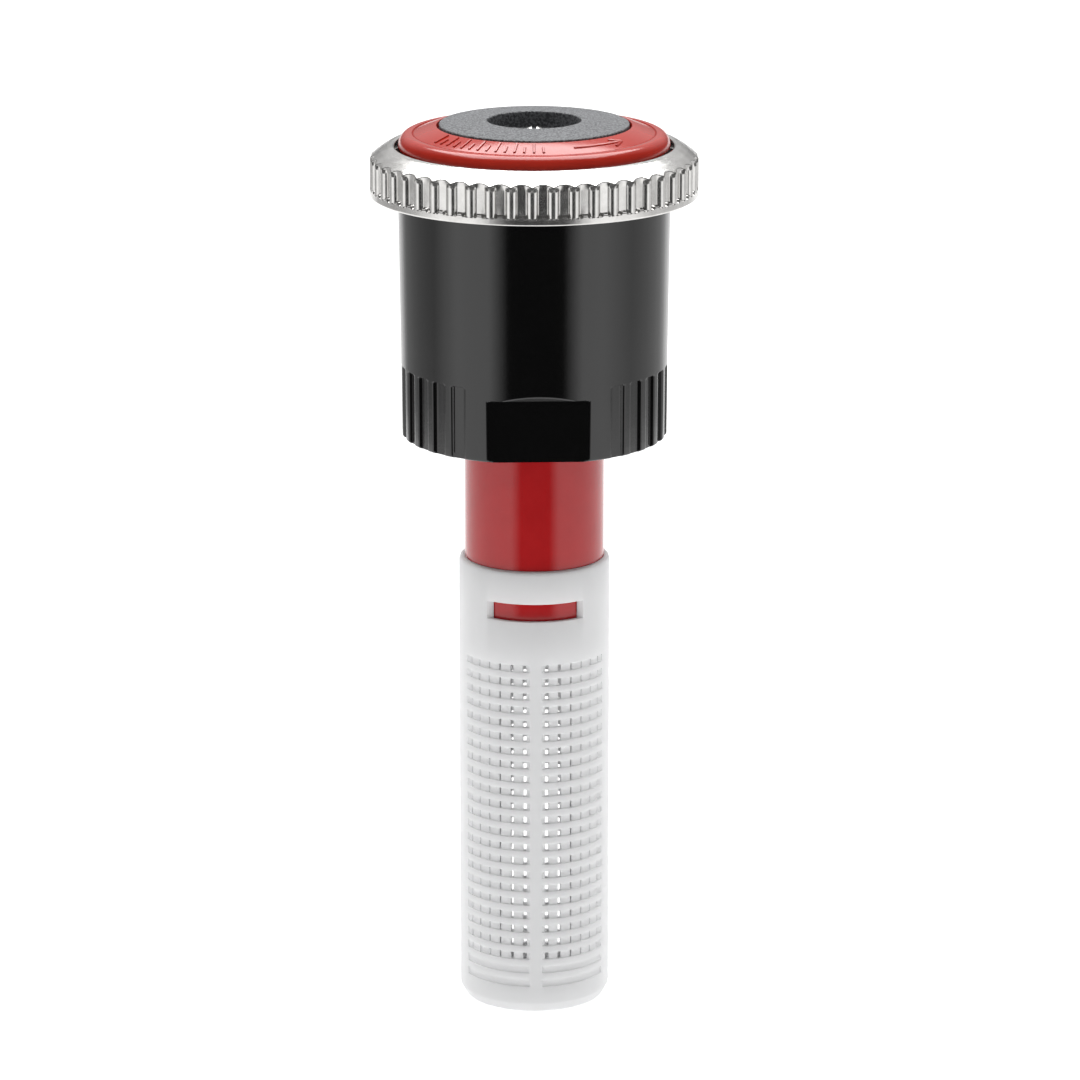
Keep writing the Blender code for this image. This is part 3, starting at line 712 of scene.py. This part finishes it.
def add_arc_ring():
    """Fluted stainless ring over its black bearing ring."""
    inside = RING_RADIUS - RING_WALL - 0.2
    outline = fillet(
        [
            (inside, RING_FOOT, 0.1),
            (RING_RADIUS, RING_FOOT, 0.16),
            (RING_RADIUS, RING_EDGE_TOP - 0.05, 0.3),
            (13.3, 76.95, 0.9),
            (12.7, RING_TOP - 0.12, 0.3),
            (12.3, RING_TOP, 0.15),
            (RING_OPENING, RING_TOP - 0.12, 0.1),
            (RING_OPENING, RING_TOP - 0.5, 0),
            (RING_OPENING + 0.3, RING_TOP - 0.5, 0),
            (inside, RING_EDGE_TOP - 0.5, 0.3),
        ],
        6,
    )
    outline = split(outline, 0.4)
    outline = split(outline, 0.05, BEAD_TOP - 0.1, BEAD_TOP + 0.55)
    outline = split(outline, 0.06, RING_EDGE_TOP - 0.6, RING_EDGE_TOP + 0.5)
    offsets = [degrees_on(RING_RADIUS, length) for length in FLUTE_OFFSETS]
    columns = crowded(evenly(FLUTE_COUNT), offsets, 1.2)
    shape = lathe(outline, columns, ring_place)
    make_piece("fluted_ring", shape, "arc_ring", STEEL, ["knurled_ring"], sharp=50)

    bore = BEARING_RADIUS + 0.2
    core = fillet(
        [
            (bore, CORE_FOOT, 0.15),
            (CORE_RADIUS, CORE_FOOT, 0.15),
            (CORE_RADIUS, CORE_TOP - 0.65, 0.2),
            (12.2, CORE_TOP, 0.1),
            (12.0, CORE_TOP - 0.45, 0),
            (bore, CORE_TOP - 0.45, 0.1),
        ]
    )
    shape = lathe(core, evenly(160))
    make_piece("bearing_ring", shape, "arc_ring", DULL_BLACK, ["ring_core"])


def rotor_place(radius, height, turn):
    """Sinks the swept stream channels in the rotor's underside."""
    if not (ROTOR_FOOT + 1 < height < RIM_FOOT + 0.1 and radius > 3.1):
        return radius, height, turn
    share = (radius - 3.0) / (RIM_RADIUS - 3.0)
    pitch = 360 / CHANNEL_COUNT
    phase = abs((turn / pitch) % 1 - 0.5) * 2
    sunk = min(1, max(0, (0.86 - phase) / 0.22)) ** 0.5
    fade = min(1, max(0, height - ROTOR_FOOT - 1.5) / 2)
    fade *= min(1, max(0, 11.4 - radius) / 0.8)
    depth = CHANNEL_DEPTH * sunk * fade
    return radius - 0.6 * depth, height + 0.8 * depth, turn + CHANNEL_SWEEP * share**2


def add_rotor():
    """Red rotor: channels underneath, a bulging rim, and a band for marks round the cap."""
    bulge = []
    for step in range(13):
        turn = 86 * step / 12
        radius = RIM_RADIUS - 1.0 + math.cos(math.radians(turn))
        bulge.append((radius, BULGE_MIDDLE + BULGE_HEIGHT * math.sin(math.radians(turn + 4)), 0))
    outline = fillet(
        [
            (2.4, ROTOR_FOOT, 0.1),
            (3.2, ROTOR_FOOT, 0.2),
            (3.4, 69.6, 0.8),
            (4.3, 71.3, 1.0),
            (6.0, 72.9, 1.5),
            (8.3, 74.6, 1.5),
            (10.4, 76.1, 0.8),
            (11.5, RIM_FOOT, 0.2),
            *bulge,
            (BAND_FOOT_RADIUS + 0.14, RIDGE_HEIGHT - 0.02, 0.05),
            (BAND_FOOT_RADIUS + 0.08, RIDGE_HEIGHT - 0.16, 0),
            (BAND_FOOT_RADIUS - 0.02, RIDGE_HEIGHT - 0.05, 0.05),
            (POCKET_RADIUS, ROTOR_TOP, 0.08),
            (POCKET_RADIUS, POCKET_FLOOR, 0),
            (5.0, POCKET_FLOOR, 0),
            (5.0, 73.6, 0),
            (1.4, 73.6, 0),
            (1.4, 70.4, 0),
            (2.4, 70.4, 0),
        ]
    )
    outline = split(outline, 0.35, ROTOR_FOOT + 1, RIM_FOOT + 0.1)
    shape = lathe(outline, evenly(24 * CHANNEL_COUNT), rotor_place)
    make_piece("rotor_body", shape, "rotor", RED_RIM, ["rotor_plate"])


def band_point(radius, turn, lift):
    """A point on the sloping band round the cap, lifted by some millimetres."""
    slope = (ROTOR_TOP - RIDGE_HEIGHT + 0.06) / (BAND_FOOT_RADIUS - POCKET_RADIUS)
    return at(radius, turn, ROTOR_TOP - slope * (radius - POCKET_RADIUS) + lift)


def stroke(shape, path, width):
    """Adds a raised stroke with sloping sides along (radius, angle) points on the band."""
    vertices, faces = shape
    first = len(vertices)
    profile = ((-0.5, -0.05), (-0.5, 0.01), (-0.3, 0.1), (0.3, 0.1), (0.5, 0.01), (0.5, -0.05))
    sides = len(profile)
    spots = []
    for radius, turn in path:
        angle = math.radians(turn)
        spots.append(Vector((radius * math.sin(angle), radius * math.cos(angle))))
    for place, spot in enumerate(spots):
        ahead = (spots[min(place + 1, len(spots) - 1)] - spots[max(place - 1, 0)]).normalized()
        side = Vector((-ahead.y, ahead.x))
        for share, lift in profile:
            point = spot + side * width * share
            turn = math.degrees(math.atan2(point.x, point.y))
            vertices.append(band_point(point.length, turn, lift))
    for place in range(len(spots) - 1):
        start = first + sides * place
        for step in range(sides):
            here, beside = start + step, start + (step + 1) % sides
            faces.append((here, beside, beside + sides, here + sides))
    last = first + sides * (len(spots) - 1)
    faces += [tuple(range(first, first + sides)), tuple(range(last, last + sides))]


def add_band_marks():
    """Generic raised marks on the rotor's band: a scale of ticks, and an arrow along the rotation."""
    shape = ([], [])
    for place in range(TICK_COUNT):
        turn = FIRST_TICK + TICK_PITCH * place
        low, high = (9.3 if place % 2 else 8.75), 10.1
        stroke(shape, [(low, turn), ((low + high) / 2, turn), (high, turn)], 0.24)
    start, end = ARROW_TURNS
    steps = 14
    arc = [(ARROW_RADIUS, start + (end - start) * step / steps) for step in range(steps + 1)]
    stroke(shape, arc, STROKE_WIDTH)
    barb = ((0.5, end - 4.5), (0.24, end - 0.8), (0.02, end + 2.5))
    for way in (-1, 1):
        path = [(ARROW_RADIUS + way * offset, turn) for offset, turn in barb]
        stroke(shape, path, STROKE_WIDTH)
    make_piece("band_marks", shape, "rotor", RED_RIM, sharp=60)


def add_cap():
    """Grey cap with the hole over the adjusting shaft, and the bush under it."""
    bore = BUSH_RADIUS + 0.1
    outline = fillet(
        [
            (bore, CAP_FOOT, 0),
            (4.8, CAP_FOOT, 0.1),
            (4.8, 78.35, 0),
            (CAP_RADIUS, 78.35, 0.1),
            (CAP_RADIUS, CAP_TOP - 0.3, 0.12),
            (CAP_HOLE_RADIUS, CAP_TOP, 0.14),
            (CAP_HOLE_RADIUS, CAP_FLOOR, 0.15),
            (bore, CAP_FLOOR, 0),
        ]
    )
    outline = split(outline, 0.6)
    make_piece("cap", lathe(outline, evenly(192)), "rotor", GREY, ["top_cap"])
    bush = washer(SHAFT_RADIUS + BUSH_CLEARANCE, BUSH_RADIUS, BUSH_FOOT, BUSH_TOP, 0.08)
    shape = lathe(bush, evenly(72))
    make_piece("cap_bush", shape, "rotor", BLACK, ["upper_bearing"])


def add_shaft():
    """Steel shaft with a screwdriver slot, a clip groove and a thread at its foot."""
    groove = SHAFT_RADIUS - 0.3
    outline = [(0, SHAFT_FOOT), (SHAFT_RADIUS - 0.2, SHAFT_FOOT), (SHAFT_RADIUS, SHAFT_FOOT + 0.2)]
    for crest in range(SHAFT_CRESTS):
        foot = SHAFT_FOOT + 0.5 + crest * SHAFT_CREST_PITCH
        outline.append((SHAFT_RADIUS, foot))
        outline.append((SHAFT_RADIUS - 0.14, foot + 0.3))
        outline.append((SHAFT_RADIUS, foot + 0.6))
    outline += [
        (SHAFT_RADIUS, SHAFT_GROOVE_FOOT),
        (groove, SHAFT_GROOVE_FOOT),
        (groove, SHAFT_GROOVE_TOP),
        (SHAFT_RADIUS, SHAFT_GROOVE_TOP),
        (SHAFT_RADIUS, SHAFT_CROWN - 0.45),
        (SHAFT_RADIUS - 0.15, SHAFT_CROWN - 0.3),
        (0.35, SHAFT_CROWN - 0.08),
        (0.15, SHAFT_CROWN),
        (0, SHAFT_CROWN),
    ]
    shape = lathe(outline, evenly(48))
    piece = make_piece("slotted_shaft", shape, "shaft", WIRE, ["adjusting_shaft"])
    half = SHAFT_SLOT_HALF_WIDTH
    cut(piece, [((-half, -2, SHAFT_TOP - SHAFT_SLOT_DEPTH), (half, 2, SHAFT_TOP + 1))])
    smooth(piece, 38)


def add_neck():
    """Red neck: keyed bore, catch bead for the filter, and the flange inside the collar."""
    outline = fillet(
        [
            (NECK_BORE, NECK_FOOT, 0.1),
            (SPIGOT_RADIUS, NECK_FOOT, 0.3),
            (SPIGOT_RADIUS, CATCH_FOOT - 0.5, 0.1),
            (BEAD_RADIUS, CATCH_FOOT - 0.1, 0.1),
            (BEAD_RADIUS, CATCH_TOP, 0.1),
            (SPIGOT_RADIUS, CATCH_TOP + 0.4, 0.1),
            (SPIGOT_RADIUS, FILTER_TOP - 2.0, 0.1),
            (NECK_RADIUS, FILTER_TOP - 1.6, 0.1),
            (NECK_RADIUS, WEB_TOP + 0.1, 0),
            (NECK_FLANGE_RADIUS, WEB_TOP + 0.1, 0.1),
            (NECK_FLANGE_RADIUS, NECK_TOP, 0.1),
            (7.9, NECK_TOP, 0),
            (7.9, NECK_TOP - 0.7, 0),
            (6.5, NECK_TOP - 0.7, 0),
            (6.5, NECK_TOP, 0),
            (5.45, NECK_TOP, 0),
            (5.45, NECK_TOP - 1.6, 0),
            (NECK_BORE, NECK_TOP - 1.6, 0),
        ]
    )
    shape = lathe(split(outline, 0.8), evenly(144))
    piece = make_piece("red_neck", shape, "housing", RED_NECK, ["inlet_neck"])
    half = KEYWAY_HALF_WIDTH
    boxes = []
    for foot, top in KEYWAYS:
        boxes.append(((-KEYWAY_RADIUS, -half, foot), (-NECK_BORE + 1, half, top)))
        boxes.append(((NECK_BORE - 1, -half, foot), (KEYWAY_RADIUS, half, top)))
    cut(piece, boxes)
    smooth(piece, 38)


def filter_columns():
    """Angles of the filter's cell walls, and what lies between each and the next: worked out for
    one side of the front rib, mirrored, and repeated behind."""
    pattern = [(-RIB_HALF_ANGLE, "rib"), (0, "rib")]
    edge = RIB_HALF_ANGLE
    for slit in range(SLIT_COUNT):
        centre = FIRST_SLIT + slit * SLIT_PITCH
        half = SLIT_HALF_ANGLES[min(slit, 2)]
        if centre - half - edge > 4:
            pattern.append(((edge + centre - half) / 2, "bar"))
        pattern.append((edge, "bar"))
        pattern.append((centre - half, "slit"))
        edge = centre + half
    pattern.append((edge, "bar"))
    pattern.append((GRID_HALF_ANGLE, "band"))
    for turn in (72, 81):
        pattern.append((turn, "band"))
    pattern.append((CATCH_HALF_ANGLE, kind_at(pattern, CATCH_HALF_ANGLE)))
    mirrored = []
    ordered = sorted(pattern)
    for (start, kind), (end, _) in zip(ordered, ordered[1:] + [(90, "band")]):
        if start >= RIB_HALF_ANGLE:
            mirrored.append((-end, kind))
    quarter = sorted(ordered + mirrored)
    return [(turn + side, kind) for side in (0, 180) for turn, kind in quarter]


def kind_at(pattern, turn):
    """What lies at an angle of the pattern."""
    return max((start, kind) for start, kind in pattern if start < turn)[1]


def filter_rows():
    """Heights of the filter's cell floors, and what lies between each and the next."""
    pitch = (GRID_TOP - GRID_FOOT) / GRID_ROWS
    rows = [(FILTER_FOOT, "foot"), (0.12, "foot"), (0.4, "plain"), (0.6, "plain")]
    rows += [(CHAMFER_HEIGHT - 0.05, "plain"), (CHAMFER_HEIGHT + 0.05, "plain"), (1.7, "plain")]
    for row in range(GRID_ROWS):
        rows.append((GRID_FOOT + row * pitch, "groove"))
        rows.append((GRID_FOOT + (row + 0.5) * pitch, "rib"))
    rows += [(SLEEVE_FOOT, "sleeve"), (CATCH_FOOT, "catch"), (CATCH_TOP, "sleeve")]
    rows += [(FILTER_TOP - MOUTH_ROUNDING, "sleeve"), (FILTER_TOP - 0.12, "sleeve")]
    return rows + [(FILTER_TOP, "none")]


def from_nearest_face(turn):
    """Angle from the filter's front or rear, whichever is nearer."""
    return (turn + 90) % 180 - 90


def slit_open(turn, part, height):
    """Whether a cell belongs to a slit between the filter's inner bars."""
    pitch = (GRID_TOP - GRID_FOOT) / GRID_ROWS
    lowest = GRID_FOOT if 90 < turn < 270 else GRID_FOOT + PLAIN_FRONT_ROWS * pitch
    return part == "slit" and lowest <= height < GRID_TOP


def filter_radius(height, ring, rings):
    """Radius of a ring of the filter's grid, kept inside its rounded mouth and chamfered foot."""
    down = max(0, height - (FILTER_TOP - MOUTH_ROUNDING)) / MOUTH_ROUNDING
    outside = FILTER_RADIUS - MOUTH_ROUNDING * (1 - math.sqrt(1 - min(1, down**2)))
    outside -= CHAMFER_DEPTH * max(0, 1 - height / CHAMFER_HEIGHT)
    return min(rings[ring], outside - THIN_LIP * (len(rings) - 1 - ring))


def add_filter():
    """White basket filter: ring ribs outside, upright bars inside, and slits where both are open.
    The middle slits are straight from front to back, and the rear ribs stand a little lower."""
    columns = filter_columns()
    heights = filter_rows()
    rings = [0.0, BAR_RADIUS, FILTER_BORE, GROOVE_RADIUS, FILTER_RADIUS]

    def solid(column, row, ring):
        if not (0 <= row < len(heights) - 1 and 0 <= ring < len(rings) - 1):
            return False
        height, kind = heights[row]
        turn, part = columns[column]
        if ring == 0:
            return kind == "foot"
        inside_open = slit_open(turn, part, height)
        if ring == 1:
            return kind != "catch" and kind != "sleeve" and not inside_open
        if ring == 2 and inside_open and kind == "groove":
            return False
        if kind == "catch":
            side = from_nearest_face(turn)
            return not -CATCH_HALF_ANGLE - 0.01 <= side < CATCH_HALF_ANGLE - 0.01
        return ring == 2 or not (kind == "groove" and part in ("bar", "slit"))

    def spot(column, row, ring):
        height = heights[row][0]
        turn = columns[column][0]
        if ring == 0:
            return (0.0, 0.0, height * MM)
        radius = filter_radius(height, ring, rings)
        side = from_nearest_face(turn)
        if ring == 2 and height in (CATCH_FOOT, CATCH_TOP) and abs(side) < CATCH_HALF_ANGLE + 0.01:
            share = max(0, abs(side) - STRAIGHT_HALF_ANGLE) / (CATCH_HALF_ANGLE - STRAIGHT_HALF_ANGLE)
            turn -= math.copysign(CATCH_SPLAY * share, side)
        if abs(side) < STRAIGHT_HALF_ANGLE:
            straight = math.asin(GROOVE_RADIUS / radius * math.sin(math.radians(side)))
            turn += math.degrees(straight) - side
        if GRID_FOOT <= height <= GRID_TOP and 90 < turn < 270:
            height -= REAR_DROP
        return at(radius, turn + FILTER_TURN * math.cos(math.radians(turn)), height)

    shape = cells(len(columns), len(heights) - 1, len(rings) - 1, solid, spot)
    piece = make_piece("basket_filter", shape, "filter", WHITE, ["filter_screen"])
    bevel(piece, 0.05, 2)
    smooth(piece, 60)


def add_spring():
    """Return spring with closed ends, pressed against the shaft guide; it rides on the carrier and
    keeps its length as the head rises.
    """
    radius = SPRING_OUTER_RADIUS - WIRE_RADIUS
    foot, top = SPRING_FOOT + WIRE_RADIUS, SPRING_TOP - WIRE_RADIUS
    path = []
    for step in range(round(SPRING_TURNS * SPRING_STEPS) + 1):
        turn = step / SPRING_STEPS
        share = min(max((turn - 0.8) / (SPRING_TURNS - 1.6), 0), 1)
        rise = share * share * (3 - 2 * share) * 0.15 + share * 0.85
        height = foot + (top - foot) * rise
        angle = math.tau * turn
        path.append((radius * math.sin(angle), -radius * math.cos(angle), height))
    shape = tube(path, WIRE_RADIUS, 12)
    piece = make_piece("coil_spring", shape, "carrier", WIRE, ["return_spring"])
    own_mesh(piece)


def add_gasket():
    """Rubber washer that the riser's end presses on."""
    outline = washer(NECK_RADIUS + 0.25, GASKET_RADIUS, GASKET_FOOT, GASKET_TOP, 0.12)
    shape = lathe(outline, evenly(120))
    make_piece("riser_washer", shape, "housing", RUBBER, ["riser_gasket"])


def paint_inner_nodes():
    """Gives the CAD nodes inside, whose shape stays, their materials."""
    looks = {
        BLACK: ["nozzle_insert", "shaft_guide"],
        ACETAL: ["throttle_seat", "spring_seat", "thrust_washer", "lower_bearing", "throttle_nut"],
        RUBBER: ["neck_o_ring", "shaft_seal", "throttle_seal"],
        WIRE: ["retaining_clip", "shaft_clip"],
        BRASS: ["brake_stator"],
    }
    for material, names in looks.items():
        for name in names:
            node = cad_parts[name]
            node.data.materials.clear()
            node.data.materials.append(material)


# Stage


def plane(name, corners, height, material):
    """A level face of the stage, of (x, y) corners in metres."""
    mesh = bpy.data.meshes.new(name)
    mesh.from_pydata([(x, y, height) for x, y in corners], [], [tuple(range(len(corners)))])
    mesh.materials.append(material)
    piece = bpy.data.objects.new(name, mesh)
    bpy.context.scene.collection.objects.link(piece)
    return piece


def add_floor():
    """Pale floor that glows like a light table, and cards on it that only reflections see."""
    nodes = Nodes("pale_floor")
    cloud = nodes.ramp(nodes.noise(30.0), 0, 1)
    colour = nodes.blend(cloud, [FLOOR_SHADE] * 3, [FLOOR_SHADE * 1.01] * 3)
    paint = nodes.finish(colour, Roughness=0.9, Emission_Color=(1, 1, 1, 1), Emission_Strength=1.0)
    reach = FLOOR_REACH
    corners = [(-reach, -reach), (reach, -reach), (reach, reach), (-reach, reach)]
    plane("floor", corners, -FLOOR_DROP, paint)
    add_card("front_card", (-38, 41), 16, (0.12, 1.5), 0.002)
    add_card("left_card", (-165, -68), 25, (0.215, 0.9), 0.33)
    add_card("right_card", (60, 165), 30, (0.215, 0.9), 0.5)
    add_card("rear_card", (145, 215), 20, (0.215, 0.9), 0.72)


def add_card(name, turns, edge, distances, level):
    """A card between two angles and two distances from the axis. Its brightness is a share of the
    floor's, and rises to the floor's over the last degrees on each side."""
    nodes = Nodes(name)
    middle, half = math.radians(sum(turns) / 2), math.radians(turns[1] - turns[0]) / 2
    spin = nodes.add("ShaderNodeVectorRotate", rotation_type="Z_AXIS")
    nodes.join(nodes.place, spin.inputs["Vector"])
    spin.inputs["Angle"].default_value = -middle
    apart = nodes.add("ShaderNodeSeparateXYZ")
    nodes.join(spin.outputs["Vector"], apart.inputs["Vector"])
    front = nodes.add("ShaderNodeMath", operation="MULTIPLY")
    nodes.join(apart.outputs["Y"], front.inputs[0])
    front.inputs[1].default_value = -1.0
    angle = nodes.add("ShaderNodeMath", operation="ARCTAN2")
    nodes.join(apart.outputs["X"], angle.inputs[0])
    nodes.join(front.outputs["Value"], angle.inputs[1])
    aside = nodes.add("ShaderNodeMath", operation="ABSOLUTE")
    nodes.join(angle.outputs["Value"], aside.inputs[0])
    glow = nodes.ramp(aside.outputs["Value"], level, 1.0, half - math.radians(edge), half)
    colour = nodes.blend(glow, (0, 0, 0), [FLOOR_SHADE] * 3)
    nodes.join(glow, nodes.shader.inputs["Emission Strength"])
    paint = nodes.finish(colour, Roughness=0.9, Emission_Color=(1, 1, 1, 1))
    corners = []
    for distance, order in zip(distances, (1, -1)):
        for step in range(CARD_STEPS + 1)[::order]:
            turn = math.radians(turns[0] + (turns[1] - turns[0]) * step / CARD_STEPS)
            corners.append((distance * math.sin(turn), -distance * math.cos(turn)))
    card = plane(name, corners, CARD_HEIGHT, paint)
    card.visible_camera = False
    card.visible_diffuse = False
    card.visible_shadow = False


def add_softbox(name, place, target, size, power):
    """A square lamp at a place, turned to a target."""
    light = bpy.data.lights.new(name, "AREA")
    light.shape = "RECTANGLE"
    light.size, light.size_y = size
    light.energy = power
    lamp = bpy.data.objects.new(name, light)
    lamp.location = place
    lamp.rotation_euler = (Vector(target) - Vector(place)).to_track_quat("-Z", "Y").to_euler()
    lamp.visible_camera = False
    bpy.context.scene.collection.objects.link(lamp)


def add_world():
    """White surroundings. Reflections see them bright above and behind, and dim elsewhere."""
    world = bpy.data.worlds.new("studio")
    bpy.context.scene.world = world
    world.use_nodes = True
    tree = world.node_tree
    backdrop = tree.nodes["Background"]
    backdrop.inputs["Color"].default_value = (1.0, 1.0, 1.0, 1.0)
    place = tree.nodes.new("ShaderNodeTexCoord")
    apart = tree.nodes.new("ShaderNodeSeparateXYZ")
    rise = tree.nodes.new("ShaderNodeMath")
    rise.operation = "MULTIPLY_ADD"
    rise.inputs[1].default_value = 1.5
    rays = tree.nodes.new("ShaderNodeLightPath")
    mirrored, bounced, seen = (tree.nodes.new("ShaderNodeMapRange") for _ in range(3))
    mirrored.inputs["From Min"].default_value = 0.95
    mirrored.inputs["From Max"].default_value = 1.37
    mirrored.inputs["To Min"].default_value = 0.12
    mirrored.inputs["To Max"].default_value = 0.65
    bounced.inputs["To Min"].default_value = 0.35
    seen.inputs["To Max"].default_value = 1.0
    for source, target in (
        (place.outputs["Generated"], apart.inputs["Vector"]),
        (apart.outputs["Z"], rise.inputs[0]),
        (apart.outputs["Y"], rise.inputs[2]),
        (rise.outputs["Value"], mirrored.inputs["Value"]),
        (mirrored.outputs["Result"], bounced.inputs["To Max"]),
        (rays.outputs["Is Glossy Ray"], bounced.inputs["Value"]),
        (bounced.outputs["Result"], seen.inputs["To Min"]),
        (rays.outputs["Is Camera Ray"], seen.inputs["Value"]),
        (seen.outputs["Result"], backdrop.inputs["Strength"]),
    ):
        tree.links.new(source, target)


def add_camera():
    """Camera in front of the object, looking down on it by about 15 degrees."""
    camera = bpy.data.objects.new("camera", bpy.data.cameras.new("camera"))
    camera.location = (0.0005, -0.4402, 0.1614)
    camera.rotation_euler = (math.radians(90 - CAMERA_TILT), 0, 0)
    camera.data.lens = 172.33
    camera.data.sensor_width = 36
    camera.data.clip_start = 0.01
    bpy.context.scene.collection.objects.link(camera)
    bpy.context.scene.camera = camera
    bpy.context.scene.view_settings.view_transform = "Standard"


add_camera()
add_floor()
add_world()
add_softbox("overhead_softbox", (0.0, 0.55, 1.3), (0, 0.25, 0), (1.7, 1.3), 42.0)
add_collar()
add_arc_ring()
add_rotor()
add_band_marks()
add_cap()
add_shaft()
add_neck()
add_filter()
add_spring()
add_gasket()
paint_inner_nodes()
